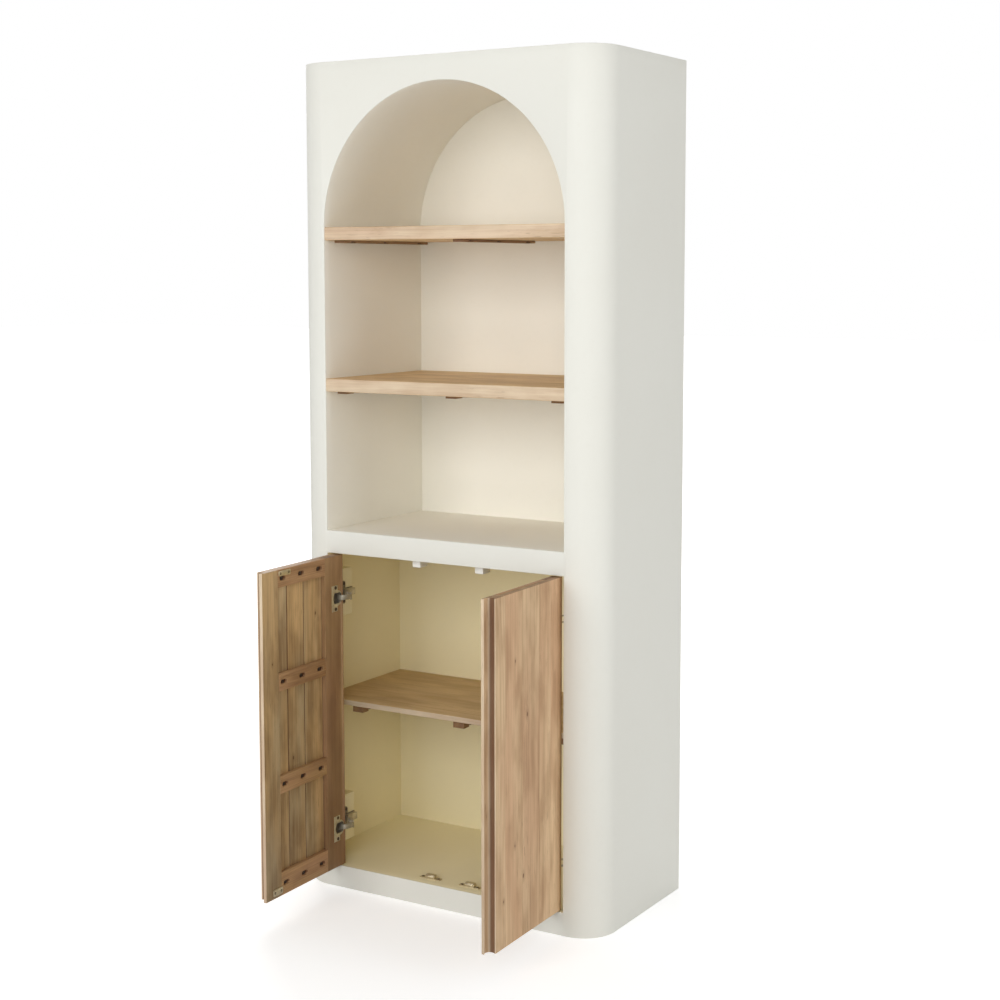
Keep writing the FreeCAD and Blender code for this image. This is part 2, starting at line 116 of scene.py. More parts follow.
# How dark the wood is made in places: soil on the end grain, painted shade in the seams, screw
# pockets and finger groove, and a darker foot inside the doors
END_SOIL = 0.45
SEAM_SHADE = 0.85
FRONT_SEAM_SHADE = 0.25
POCKET_SHADE = 0.9
FOOT_DARKENING = 0.22
GROOVE_SHADE = {"left": 0.5, "right": 0.87}

ROUGHNESS = {"nickel": 0.48, "satin": 0.62, "zinc": 0.42, "dull_steel": 0.5, "dark_steel": 0.5}


class CabinetSizes(bpy.types.PropertyGroup):
    paint_edge: bpy.props.FloatProperty(
        name="Painted edge", description="Rounding along the painted edges",
        default=0.0014, subtype="DISTANCE", unit="LENGTH")
    board_edge: bpy.props.FloatProperty(
        name="Board edge", description="Rounding along the edges of the wooden boards",
        default=0.0008, subtype="DISTANCE", unit="LENGTH")
    metal_edge: bpy.props.FloatProperty(
        name="Metal edge", description="Rounding along the edges of the fittings",
        default=0.0003, subtype="DISTANCE", unit="LENGTH")
    seam_inside: bpy.props.FloatProperty(
        name="Inner seam", description="Chamfer along the planks' edges inside the doors",
        default=0.0016, subtype="DISTANCE", unit="LENGTH")
    seam_outside: bpy.props.FloatProperty(
        name="Outer seam", description="Chamfer along the planks' edges on the door fronts",
        default=0.0005, subtype="DISTANCE", unit="LENGTH")
    hinge_arris: bpy.props.FloatProperty(
        name="Hinge side arris", description="Rounding of the doors' front arris at the hinges",
        default=0.0028, subtype="DISTANCE", unit="LENGTH")
    corner_steps: bpy.props.IntProperty(
        name="Corner steps", description="Flats in each rounded corner of the carcass", default=40)
    arch_steps: bpy.props.IntProperty(
        name="Arch steps", description="Flats in the full circle of the arch", default=256)


def colour(name, description, default):
    return bpy.props.FloatVectorProperty(
        name=name, description=description, subtype="COLOR", size=3, min=0, max=1, default=default)


class CabinetColours(bpy.types.PropertyGroup):
    paint: colour("Paint", "Outside of the carcass", (0.80, 0.795, 0.73))
    # Inner paints: the outer paint made brighter as painted light and yellower as the warm tone of
    # painted shade, the cupboard's most of all
    niche_paint: colour("Niche paint", "Inside of the niche", (0.96, 0.935, 0.845))
    cupboard_paint: colour("Cupboard paint", "Inside of the cupboard", (0.97, 0.88, 0.585))
    face_light: colour("Face, light", "Early wood of the door fronts", (0.78, 0.56, 0.335))
    face_dark: colour("Face, dark", "Late wood of the door fronts", (0.37, 0.205, 0.10))
    face_tint: colour("Face, tint", "Reddish patches of the door fronts", (0.64, 0.395, 0.23))
    shelf_light: colour("Shelf, light", "Early wood of the shelf tops", (0.80, 0.585, 0.33))
    shelf_dark: colour("Shelf, dark", "Late wood of the shelf tops", (0.47, 0.30, 0.14))
    shelf_tint: colour("Shelf, tint", "Patches of the shelf tops", (0.66, 0.46, 0.25))
    back_light: colour("Back, light", "Early wood inside the doors", (0.60, 0.41, 0.20))
    back_dark: colour("Back, dark", "Late wood inside the doors", (0.20, 0.11, 0.045))
    back_tint: colour("Back, tint", "Weathered patches inside the doors", (0.52, 0.43, 0.27))
    edge_light: colour("Edge, light", "Early wood of planed front edges", (0.74, 0.61, 0.44))
    edge_dark: colour("Edge, dark", "Late wood of planed front edges", (0.50, 0.34, 0.21))
    edge_tint: colour("Edge, tint", "Patches of planed front edges", (0.72, 0.53, 0.375))
    batten_light: colour("Batten, light", "Early wood of the battens", (0.40, 0.25, 0.12))
    batten_dark: colour("Batten, dark", "Late wood of the battens", (0.20, 0.105, 0.05))
    batten_tint: colour("Batten, tint", "Patches of the battens", (0.36, 0.20, 0.11))
    nickel: colour("Nickel", "Hinge arms and cups", (0.62, 0.57, 0.46))
    satin: colour("Satin nickel", "Hinge links", (0.465, 0.4275, 0.345))
    zinc: colour("Zinc", "Strikes and floor catches", (0.66, 0.58, 0.41))
    # Dull steel also darkens the cups' hollows, partly as painted shade
    dull_steel: colour("Dull steel", "Hinge plates and the cups' hollows", (0.30, 0.27, 0.22))
    # The screws' dark steel also stands for painted shade in their holes
    dark_steel: colour("Dark steel", "Screws", (0.13, 0.10, 0.08))
    plastic: colour("Plastic", "Top catches", (0.86, 0.86, 0.83))


# Places in the CAD model

def span_of(places):
    """Lowest and highest corners of a list of places."""
    return (Vector(min(place[axis] for place in places) for axis in range(3)),
            Vector(max(place[axis] for place in places) for axis in range(3)))


def node_corners(name, turned):
    """Lowest and highest corners of a CAD node after a turn, such as a door's turn to shut."""
    return span_of([turned @ vertex.co for vertex in frame["nodes"][name].data.vertices])


def door_turn(side):
    """How a shut door turns to its resting place, as a matrix."""
    joint = JOINTS[side + "_door_hinge"]
    pivot = Matrix.Translation(joint["pos_m"])
    angle = math.radians(-joint["range_deg"][0])
    return pivot @ Matrix.Rotation(angle, 4, Vector(joint["axis"])) @ pivot.inverted()


# Editing helpers

def only(piece):
    """Leaves edit mode and selects one piece alone."""
    if bpy.context.object and bpy.context.object.mode != "OBJECT":
        bpy.ops.object.mode_set(mode="OBJECT")
    bpy.ops.object.select_all(action="DESELECT")
    piece.select_set(True)
    bpy.context.view_layer.objects.active = piece


def settle(piece, turn=Matrix.Identity(4)):
    """Turns a piece and puts its place into its mesh."""
    piece.matrix_basis = turn @ piece.matrix_basis
    only(piece)
    bpy.ops.object.transform_apply(location=True, rotation=True, scale=True)


def block(name, low, high):
    """A box between two corners, to be rounded or to cut with."""
    bpy.ops.mesh.primitive_cube_add(size=1, location=(Vector(low) + Vector(high)) / 2)
    piece = bpy.context.object
    piece.name = name
    piece.scale = Vector(high) - Vector(low)
    settle(piece)
    return piece


def drum(name, radius, start, end, steps):
    """A round bar between two points."""
    start, end = Vector(start), Vector(end)
    span = end - start
    bpy.ops.mesh.primitive_cylinder_add(
        vertices=steps, radius=radius, depth=span.length, location=(start + end) / 2,
        rotation=span.to_track_quat("Z", "Y").to_euler())
    piece = bpy.context.object
    piece.name = name
    settle(piece)
    return piece


def round_edges(piece, width, wanted, steps=2):
    """Bevels the edges whose two ends pass a test."""
    only(piece)
    bpy.ops.object.mode_set(mode="EDIT")
    bpy.ops.mesh.select_mode(type="EDGE")
    bpy.ops.mesh.select_all(action="DESELECT")
    bpy.ops.object.mode_set(mode="OBJECT")
    vertices = piece.data.vertices
    for edge in piece.data.edges:
        a, b = (vertices[index].co for index in edge.vertices)
        edge.select = wanted(a, b)
    bpy.ops.object.mode_set(mode="EDIT")
    bpy.ops.mesh.bevel(offset=width, segments=steps, affect="EDGES", clamp_overlap=True)
    bpy.ops.object.mode_set(mode="OBJECT")


def on(axis, place):
    """Both ends of an edge lie at that place along an axis."""
    return lambda a, b: abs(a[axis] - place) < NEAR and abs(b[axis] - place) < NEAR


def both(*tests):
    return lambda a, b: all(test(a, b) for test in tests)


def either(*tests):
    return lambda a, b: any(test(a, b) for test in tests)


def upright(a, b):
    return abs(a.x - b.x) < NEAR and abs(a.z - b.z) > NEAR


def cut(piece, *cutters):
    """Takes the cutters' shapes out of a piece."""
    for cutter in cutters:
        only(piece)
        modifier = piece.modifiers.new("Cut", "BOOLEAN")
        modifier.object = cutter
        modifier.operation = "DIFFERENCE"
        modifier.solver = "EXACT"
        bpy.ops.object.modifier_apply(modifier=modifier.name)
        bpy.data.objects.remove(cutter)


def join(name, pieces):
    """Joins pieces into the first one."""
    bpy.ops.object.select_all(action="DESELECT")
    for piece in pieces:
        piece.select_set(True)
    bpy.context.view_layer.objects.active = pieces[0]
    bpy.ops.object.join()
    pieces[0].name = name
    return pieces[0]


def weld(piece):
    """Merges the loose triangles of a CAD node's copy into whole faces."""
    only(piece)
    bpy.ops.object.mode_set(mode="EDIT")
    bpy.ops.mesh.select_all(action="SELECT")
    bpy.ops.mesh.remove_doubles(threshold=WELD)
    bpy.ops.mesh.dissolve_limited(angle_limit=FLAT_ANGLE)
    bpy.ops.object.mode_set(mode="OBJECT")


def node_copy(node, name):
    """A copy of a CAD node with its own mesh."""
    piece = bpy.data.objects.new(name, frame["nodes"][node].data.copy())
    bpy.context.scene.collection.objects.link(piece)
    return piece


def shut_copy(node, turn):
    """A welded copy of a door's CAD node, turned back to the shut door."""
    piece = node_copy(node, node + "_shaped")
    settle(piece, turn.inverted())
    weld(piece)
    return piece


def solids_of(node, turn):
    """Lowest and highest corners of each solid in a CAD node, on the shut door."""
    piece = shut_copy(node, turn)
    links = {}
    for edge in piece.data.edges:
        a, b = edge.vertices
        links.setdefault(a, []).append(b)
        links.setdefault(b, []).append(a)
    seen, found = set(), []
    for start in links:
        if start in seen:
            continue
        seen.add(start)
        group, queue = [], [start]
        while queue:
            index = queue.pop()
            group.append(piece.data.vertices[index].co)
            fresh = [other for other in links[index] if other not in seen]
            seen.update(fresh)
            queue += fresh
        found.append(span_of(group))
    bpy.data.objects.remove(piece)
    return found


def smooth(piece, degrees=35):
    only(piece)
    bpy.ops.object.shade_smooth_by_angle(angle=math.radians(degrees))


def finish(piece, nodes, material, degrees=35):
    """Shades a piece, gives it its material and lets it stand for CAD nodes on their body."""
    smooth(piece, degrees)
    piece.data.materials.clear()
    piece.data.materials.append(material)
    node = frame["nodes"][nodes[0]]
    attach(piece, node["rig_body"])
    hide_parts(*nodes)


def eased_copy(node, width, material):
    """A copy of a CAD node with welded, lightly rounded edges."""
    piece = node_copy(node, node + "_eased")
    weld(piece)
    modifier = piece.modifiers.new("Ease", "BEVEL")
    modifier.width = width
    modifier.segments = 2
    modifier.limit_method = "ANGLE"
    modifier.angle_limit = EDGE_ANGLE
    bpy.ops.object.modifier_apply(modifier=modifier.name)
    finish(piece, [node], material)
    return piece


# Screws

def head_pattern():
    """A screw head with a crossed recess, one unit in radius and height, its top at the origin."""
    piece = drum("head_pattern", 1, (0, 0, -1), (0, 0, 0), 24)
    rim = 0.2
    round_edges(piece, rim, on(2, 0), 3)
    half, reach, depth = 0.17, 0.62, 0.55
    cut(piece, block("slot", (-reach, -half, -depth), (reach, half, depth)),
        block("cross_slot", (-half, -reach, -depth), (half, reach, depth)))
    return piece


def screw_heads(name, spots):
    """Copies of one head at spots: each top's place and direction, the radius and the height."""
    pattern = head_pattern()
    draw = random.Random(len(name))
    heads = []
    for number, (top, direction, radius, height) in enumerate(spots):
        head = pattern.copy()
        head.data = pattern.data.copy()
        head.name = "%s_%d" % (name, number)
        bpy.context.scene.collection.objects.link(head)
        spin = Matrix.Rotation(draw.uniform(0, math.pi / 2), 4, "Z")
        turn = Vector(direction).to_track_quat("Z", "Y").to_matrix().to_4x4()
        head.matrix_basis = (Matrix.Translation(top) @ turn @ spin
                             @ Matrix.Diagonal((radius, radius, height, 1)))
        settle(head)
        heads.append(head)
    bpy.data.objects.remove(pattern)
    return join(name, heads)


def heads_for(node, direction=None, turn=Matrix.Identity(4)):
    """Crossed heads in place of a node's plain ones. Without a direction they face the middle."""
    spots = []
    for low, high in solids_of(node, turn):
        middle, half = (low + high) / 2, (high - low) / 2
        way = Vector(direction or (math.copysign(1, -middle.x), 0, 0))
        axis = max(range(3), key=lambda index: abs(way[index]))
        radius = max(half[index] for index in range(3) if index != axis)
        spots.append((middle + way * half[axis], way, radius, 2 * half[axis]))
    piece = screw_heads(node + "_crossed", spots)
    settle(piece, turn)
    finish(piece, [node], metal("dark_steel"))


def screwed(piece, spots, turn=Matrix.Identity(4)):
    """Joins crossed heads of dark steel to a fitting that already has its node and body; their
    darkness also paints the shade of the screw holes.
    """
    heads = screw_heads(piece.name + "_heads", spots)
    settle(heads, turn)
    heads.data.materials.append(metal("dark_steel"))
    smooth(join(piece.name, [piece, heads]))


# Shader helpers

def shader(name):
    material = bpy.data.materials.new(name)
    material.use_nodes = True
    return material, material.node_tree, material.node_tree.nodes["Principled BSDF"]


def plug(tree, socket, value):
    """Links a socket to another or sets its value."""
    if isinstance(value, bpy.types.NodeSocket):
        tree.links.new(value, socket)
    else:
        socket.default_value = value


def add(tree, kind, inputs=None, **settings):
    node = tree.nodes.new("ShaderNode" + kind)
    for key, value in settings.items():
        setattr(node, key, value)
    for key, value in (inputs or {}).items():
        plug(tree, node.inputs[key], value)
    return node


def calc(tree, operation, *values):
    return add(tree, "Math", dict(enumerate(values)), operation=operation).outputs[0]


def times(tree, first, second):
    return calc(tree, "MULTIPLY", first, second)


def plus(tree, first, second):
    return calc(tree, "ADD", first, second)


def vector_calc(tree, operation, first, second=(0, 0, 0), result="Vector"):
    inputs = {0: first, 1: second}
    return add(tree, "VectorMath", inputs, operation=operation).outputs[result]


def object_place(tree):
    return add(tree, "TexCoord").outputs["Object"]


def scaled(tree, vector, x, y, z):
    return vector_calc(tree, "MULTIPLY", vector, (x, y, z))


def noise(tree, vector, scale, detail=2.0, seed=0.0, result="Fac"):
    inputs = {"Vector": vector, "Scale": scale, "Detail": detail, "W": seed}
    return add(tree, "TexNoise", inputs, noise_dimensions="4D").outputs[result]


def fade(tree, value, start, end, low=0.0, high=1.0):
    """Goes softly from one result to another as a value goes from its start to its end."""
    inputs = {"Value": value, "From Min": start, "From Max": end, "To Min": low, "To Max": high}
    return add(tree, "MapRange", inputs, interpolation_type="SMOOTHSTEP").outputs[0]


def facing(tree, direction, low, high):
    """How far the surface faces a direction of the model."""
    normal = add(tree, "TexCoord").outputs["Normal"]
    lean = vector_calc(tree, "DOT_PRODUCT", normal, direction, "Value")
    return fade(tree, lean, low, high)


def blend_colour(tree, share, first, second, how="MIX"):
    node = add(tree, "Mix", data_type="RGBA", blend_type=how)
    for socket, value in ((0, share), (6, first), (7, second)):
        plug(tree, node.inputs[socket], value)
    return node.outputs[2]


def darker(tree, base, factors):
    return blend_colour(tree, 1.0, base, rgba(factors), "MULTIPLY")


def rgba(values, factor=1.0):
    return (*(value * factor for value in values), 1.0)


def bumped(tree, surface, height, distance, strength):
    bump = add(tree, "Bump", {"Height": height, "Distance": distance, "Strength": strength})
    tree.links.new(bump.outputs[0], surface.inputs["Normal"])


# Paint, metals and plastic

def paint_inside(tree, split):
    """Where the paint is on an inner face, and where it is in the niche, by place alone. Those
    faces take the inner paints, brighter and yellower as painted light and warm painted shade.
    """
    arris = 0.0006
    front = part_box("middle_rail")[0][1]
    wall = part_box("middle_rail")[1][1] - front
    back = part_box("back_panel")[0][1]
    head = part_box("top_panel")[0][2]
    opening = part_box("right_stile")[0][0]
    side_face, corner_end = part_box("right_side_panel")[0][:2]
    outer_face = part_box("right_side_panel")[1][0]
    deck_low, deck_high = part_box("niche_floor")
    wide = calc(tree, "ABSOLUTE", split["X"])

    depth = times(tree, fade(tree, split["Y"], front + arris, front + 4 * arris),
                  fade(tree, split["Y"], back + 4 * arris, back + 2 * arris))
    between = fade(tree, wide, opening + 4 * arris, opening + 2 * arris)
    reach = fade(tree, split["Y"], corner_end - 2 * arris, corner_end - arris,
                 outer_face - wall + 4 * arris, side_face + 4 * arris)
    behind_frame = times(tree, calc(tree, "LESS_THAN", wide, reach),
                         fade(tree, split["Y"], front + wall - arris, front + wall))
    inside = times(tree, calc(tree, "MAXIMUM", between, behind_frame), depth)
    inside = times(tree, inside, fade(tree, split["Z"], head, head - arris))
    in_niche = fade(tree, split["Z"], deck_low[2] + arris, deck_high[2] - arris)
    return inside, in_niche


def paint_material():
    """Brushed cream paint, brighter and yellower inside the niche and the cupboard: painted light
    and the warm tone of painted shade.
    """
    colours = bpy.context.scene.cabinet_colours
    material, tree, surface = shader("brushed_paint")
    place = object_place(tree)
    inside, in_niche = paint_inside(tree, add(tree, "SeparateXYZ", {0: place}).outputs)
    # Inner faces: brighter, yellower copies of the paint, as painted light and warm painted shade
    inner = blend_colour(tree, in_niche, rgba(colours.cupboard_paint), rgba(colours.niche_paint))
    base = blend_colour(tree, inside, rgba(colours.paint), inner)

    cloud = noise(tree, place, 3.2, 4.0)
    cloud_colour, cloud_share = (0.70, 0.67, 0.58), 0.10
    base = blend_colour(tree, fade(tree, cloud, 0.35, 0.7, 0.0, cloud_share), base,
                        rgba(cloud_colour))
    speckle = noise(tree, place, 90.0, 3.0)
    speckle_colour, speckle_share = (0.55, 0.5, 0.4), 0.03
    base = blend_colour(tree, fade(tree, speckle, 0.55, 0.75, 0.0, speckle_share), base,
                        rgba(speckle_colour))
    tree.links.new(base, surface.inputs["Base Color"])

    roller = noise(tree, place, 520.0, 3.0)
    strokes = noise(tree, scaled(tree, place, 26, 26, 5), 1.0, 4.0)
    height = plus(tree, times(tree, strokes, 0.8), times(tree, roller, 0.2))
    bumped(tree, surface, height, distance=0.0009, strength=0.35)
    tree.links.new(fade(tree, cloud, 0.3, 0.7, 0.50, 0.60), surface.inputs["Roughness"])
    surface.inputs["Specular IOR Level"].default_value = 0.35
    return material


def metal_material(name):
    """Bare metal with smudges and a fine grit."""
    base, roughness = getattr(bpy.context.scene.cabinet_colours, name), ROUGHNESS[name]
    material, tree, surface = shader(name)
    place = object_place(tree)
    smudge = noise(tree, place, 120.0, 4.0)
    grit = noise(tree, place, 1800.0, 2.0)
    smudge_tone, smudge_share = 0.6, 0.35
    shade = blend_colour(tree, fade(tree, smudge, 0.35, 0.7, 0.0, smudge_share), rgba(base),
                         rgba(base, smudge_tone))
    tree.links.new(shade, surface.inputs["Base Color"])
    tree.links.new(fade(tree, smudge, 0.3, 0.7, roughness - 0.06, roughness + 0.12),
                   surface.inputs["Roughness"])
    surface.inputs["Metallic"].default_value = 1.0
    bumped(tree, surface, grit, distance=0.00006, strength=0.4)
    return material


def plastic_material():
    """White moulded plastic, faintly hazed."""
    base = bpy.context.scene.cabinet_colours.plastic
    material, tree, surface = shader("moulded_plastic")
    place = object_place(tree)
    haze = noise(tree, place, 60.0, 3.0)
    haze_tone, haze_share = 0.85, 0.15
    tone = blend_colour(tree, fade(tree, haze, 0.3, 0.7, 0.0, haze_share), rgba(base),
                        rgba(base, haze_tone))
    tree.links.new(tone, surface.inputs["Base Color"])
    tree.links.new(fade(tree, haze, 0.3, 0.7, 0.32, 0.42), surface.inputs["Roughness"])
    bumped(tree, surface, noise(tree, place, 900.0, 2.0), distance=0.00005, strength=0.3)
    return material


def paint():
    return bpy.data.materials.get("brushed_paint") or paint_material()


def metal(name):
    """A metal under the name of its colour, made at first use."""
    return bpy.data.materials.get(name) or metal_material(name)


# Wood

def add_knots(tree, place, given, radius):
    """Pushes the rings round two knots, and says how dark the knots are."""
    squash, reach, swell, raggedness = 0.55, 7.0, 2.2, 0.7
    board = add(tree, "SeparateXYZ", {0: place}).outputs
    darkness = []
    for name in ("Knot A", "Knot B"):
        spot = add(tree, "SeparateXYZ", {0: given[name]}).outputs
        size = spot["Z"]
        across = calc(tree, "SUBTRACT", board["X"], spot["X"])
        along = times(tree, calc(tree, "SUBTRACT", board["Z"], spot["Y"]), squash)
        span = calc(tree, "SQRT", plus(tree, times(tree, across, across),
                                       times(tree, along, along)))
        sizes_away = calc(tree, "DIVIDE", span, size)
        pull = fade(tree, sizes_away, reach, 0.0)
        radius = plus(tree, radius, times(tree, times(tree, pull, pull), times(tree, size, swell)))
        ragged = plus(tree, sizes_away, times(tree, noise(tree, place, 260.0, 3.0), raggedness))
        core = fade(tree, ragged, 1.55, 0.75)
        halo = fade(tree, ragged, 3.8, 0.9, 0.0, 0.3)
        darkness.append(calc(tree, "MAXIMUM", core, halo))
    return radius, calc(tree, "MAXIMUM", *darkness)


def wood_figure():
    """Node group for a board with its grain along Z: rings, streaks, fibres, dashes, two knots."""
    tree = bpy.data.node_groups.new("Wood figure", "ShaderNodeTree")
    vector, number, tone = "NodeSocketVector", "NodeSocketFloat", "NodeSocketColor"
    for name, kind in (("Vector", vector), ("Pith", vector), ("Seed", number), ("Light", tone),
                       ("Dark", tone), ("Tint", tone), ("Ring", number), ("Knot A", vector),
                       ("Knot B", vector), ("Soil", number)):
        tree.interface.new_socket(name, in_out="INPUT", socket_type=kind)
    for name, kind in (("Color", tone), ("Roughness", number), ("Height", number)):
        tree.interface.new_socket(name, in_out="OUTPUT", socket_type=kind)
    given = tree.nodes.new("NodeGroupInput").outputs
    result = tree.nodes.new("NodeGroupOutput").inputs
    place, seed = given["Vector"], given["Seed"]

    def grain(across, along, detail, low, high, shift=0.0):
        """Noise of so many waves a metre across and along the grain, faded between two levels."""
        stretched = scaled(tree, place, across, across, along)
        return fade(tree, noise(tree, stretched, 1.0, detail, plus(tree, seed, shift)), low, high)

    sway = noise(tree, scaled(tree, place, 5, 5, 1.1), 1.0, 2.0, seed, "Color")
    sway = vector_calc(tree, "SUBTRACT", sway, (0.5, 0.5, 0.5))
    warped = vector_calc(tree, "ADD", place, scaled(tree, sway, 0.03, 0.04, 0.0))
    from_pith = vector_calc(tree, "SUBTRACT", warped, given["Pith"])
    radius = vector_calc(tree, "LENGTH", scaled(tree, from_pith, 1, 1, 0.02), result="Value")
    radius, knot = add_knots(tree, place, given, radius)

    cycle = calc(tree, "FRACT", calc(tree, "DIVIDE", radius, given["Ring"]))
    ring = times(tree, fade(tree, cycle, 0.2, 0.85), fade(tree, cycle, 1.0, 0.92))
    broken = plus(tree, 0.25, times(tree, grain(24, 1.8, 2.0, 0.35, 0.7), 0.75))
    late = times(tree, ring, broken)
    streak = grain(85, 1.3, 3.0, 0.38, 0.68, 1.0)
    fibre = grain(650, 9, 2.0, 0.35, 0.65)
    dash = times(tree, grain(900, 34, 1.0, 0.64, 0.72), grain(22, 3.5, 2.0, 0.42, 0.62, 2.0))
    pale = grain(210, 3.2, 2.0, 0.58, 0.74, 3.0)
    patch = grain(13, 2.6, 3.0, 0.42, 0.66, 4.0)
    smear = grain(30, 1.0, 2.0, 0.45, 0.75, 5.0)
    blotch = grain(24, 8, 5.0, 0.40, 0.64, 6.0)

    share = 0.0
    for layer, weight in ((late, 0.15), (streak, 0.20), (fibre, 0.24), (smear, 0.12),
                          (blotch, 0.36)):
        share = plus(tree, share, times(tree, layer, weight))
    light = blend_colour(tree, times(tree, patch, 0.8), given["Light"], given["Tint"])
    bleached = darker(tree, given["Light"], (1.16, 1.14, 1.08))
    light = blend_colour(tree, times(tree, pale, 0.45), light, bleached)
    base = blend_colour(tree, share, light, given["Dark"])
    deep = darker(tree, given["Dark"], (0.45, 0.38, 0.32))
    base = blend_colour(tree, times(tree, dash, 0.6), base, deep)
    base = blend_colour(tree, times(tree, knot, 0.9), base, deep)
    # Darkening for soil and painted shade, as the board's mask asks
    base = blend_colour(tree, given["Soil"], base, darker(tree, base, (0.20, 0.10, 0.05)))
    tree.links.new(base, result["Color"])
    tree.links.new(plus(tree, 0.55, times(tree, late, 0.12)), result["Roughness"])
    height = calc(tree, "SUBTRACT", times(tree, fibre, 0.3), dash)
    tree.links.new(plus(tree, height, times(tree, late, 0.5)), result["Height"])


def grain_axes(along, face):
    """Turns a board's own axes, across, face and along, onto the model's."""
    along, face = Vector(along), Vector(face)
    across = face.cross(along)
    return Matrix((across, face, along)).transposed()


class Wood:
    """The wood of one board, laid out from the board's own centre."""

    def __init__(self, node, centre, axes, palette, seed, ring=0.004, knots=(), straight=True,
                 factor=1.0):
        self.material, self.tree, self.surface = shader(node + "_wood")
        layout = {"Vector": object_place(self.tree), "Location": centre,
                  "Rotation": axes.to_euler()}
        self.place = add(self.tree, "Mapping", layout, vector_type="TEXTURE").outputs[0]
        self.split = add(self.tree, "SeparateXYZ", {0: self.place}).outputs
        ends = [facing(self.tree, way, 0.6, 0.9) for way in (axes.col[2], -axes.col[2])]
        self.soil = times(self.tree, calc(self.tree, "MAXIMUM", *ends), END_SOIL)

        draw = random.Random(seed)
        tone = draw.uniform(0.93, 1.06) * factor
        self.colours = [rgba(value, tone) for value in self.palette(palette)]
        if straight:
            side = draw.choice((-1, 1)) * draw.uniform(0.10, 0.20)
        else:
            side = draw.uniform(-0.02, 0.02)
        spots = [*knots, NO_KNOT, NO_KNOT]
        self.given = {"Pith": (side, -draw.uniform(0.03, 0.07), 0), "Seed": seed * 1.37,
                      "Ring": ring, "Knot A": spots[0], "Knot B": spots[1]}

    @staticmethod
    def palette(name):
        colours = bpy.context.scene.cabinet_colours
        return [getattr(colours, name + part) for part in ("_light", "_dark", "_tint")]

    def change(self, mask, palette, factor):
        """Changes the palette where a mask is 1."""
        other = [rgba(value, factor) for value in self.palette(palette)]
        self.colours = [blend_colour(self.tree, mask, first, second)
                        for first, second in zip(self.colours, other)]

    def depth(self, start, end):
        """A mask that rises from one depth to another, measured from the board's middle."""
        return fade(self.tree, self.split["Y"], start, end)

    def behind(self, start, end, palette, factor):
        """Changes the palette behind a depth."""
        self.change(self.depth(start, end), palette, factor)

    def toward(self, direction, palette, factor=1.0):
        """Changes the palette on the faces toward a direction."""
        self.change(facing(self.tree, direction, 0.6, 0.85), palette, factor)

    def darken(self, mask, strength):
        """Darkens the wood where a mask is 1; the seams, pockets and finger groove use it for
        painted shade, the doors' feet for darker wood below.
        """
        self.soil = calc(self.tree, "MAXIMUM", self.soil, times(self.tree, mask, strength))

    def away_from(self, place):
        """Distance from a place across the board."""
        return calc(self.tree, "ABSOLUTE", calc(self.tree, "SUBTRACT", self.split["X"], place))

    def made(self):
        figure = add(self.tree, "Group", node_tree=bpy.data.node_groups["Wood figure"])
        values = dict(self.given, Vector=self.place, Soil=self.soil,
                      **dict(zip(("Light", "Dark", "Tint"), self.colours)))
        for key, value in values.items():
            plug(self.tree, figure.inputs[key], value)
        self.tree.links.new(figure.outputs["Color"], self.surface.inputs["Base Color"])
        self.tree.links.new(figure.outputs["Roughness"], self.surface.inputs["Roughness"])
        bumped(self.tree, self.surface, figure.outputs["Height"], distance=0.0003, strength=0.5)
        self.surface.inputs["Specular IOR Level"].default_value = 0.3
        return self.material


def door_wood(node, low, high, turn, along, palette, seed, **choices):
    """The wood of a door's board, with its grain along a direction of the shut door."""
    axes = turn.to_3x3() @ grain_axes(along, (0, -1, 0))
    return Wood(node, turn @ ((low + high) / 2), axes, palette, seed, **choices)


# Pieces

